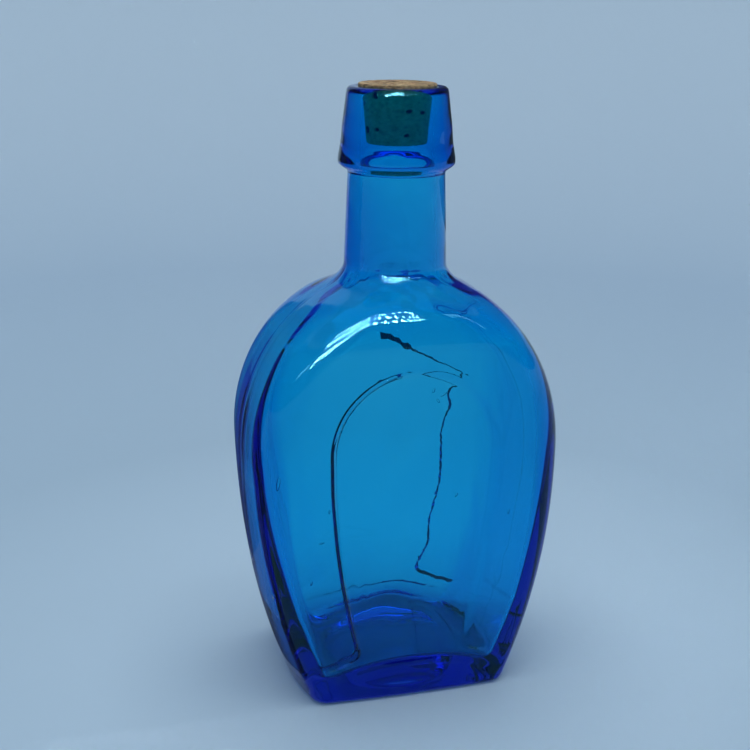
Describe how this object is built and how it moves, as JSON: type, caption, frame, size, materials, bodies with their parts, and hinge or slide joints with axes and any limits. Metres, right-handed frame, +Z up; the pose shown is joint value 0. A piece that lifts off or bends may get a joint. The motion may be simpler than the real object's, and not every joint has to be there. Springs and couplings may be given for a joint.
{
  "type": "corked glass flask",
  "caption": "Blue glass flask with a horseshoe raised on each broad face, a thick flared collar lip and a tapered cork stopper that pulls out of the mouth.",
  "frame": {"origin": "centre of the base, on the surface the bottle stands on", "axes": "+Z up along the neck, -Y out of the front face, X across the width"},
  "size_m": [0.1026, 0.0586, 0.1974],
  "materials": {
    "glass": "clear blue glass, slightly wavy",
    "cork": "natural cork with dark pores"
  },
  "bodies": {
    "bottle": {"bottle": "glass"},
    "stopper": {"cork_stopper": "cork"}
  },
  "joints": [
    {"name": "cork_pull", "type": "slide", "parent": "bottle", "child": "stopper", "axis": [0, 0, 1], "range_m": [0, 0.025]}
  ]
}
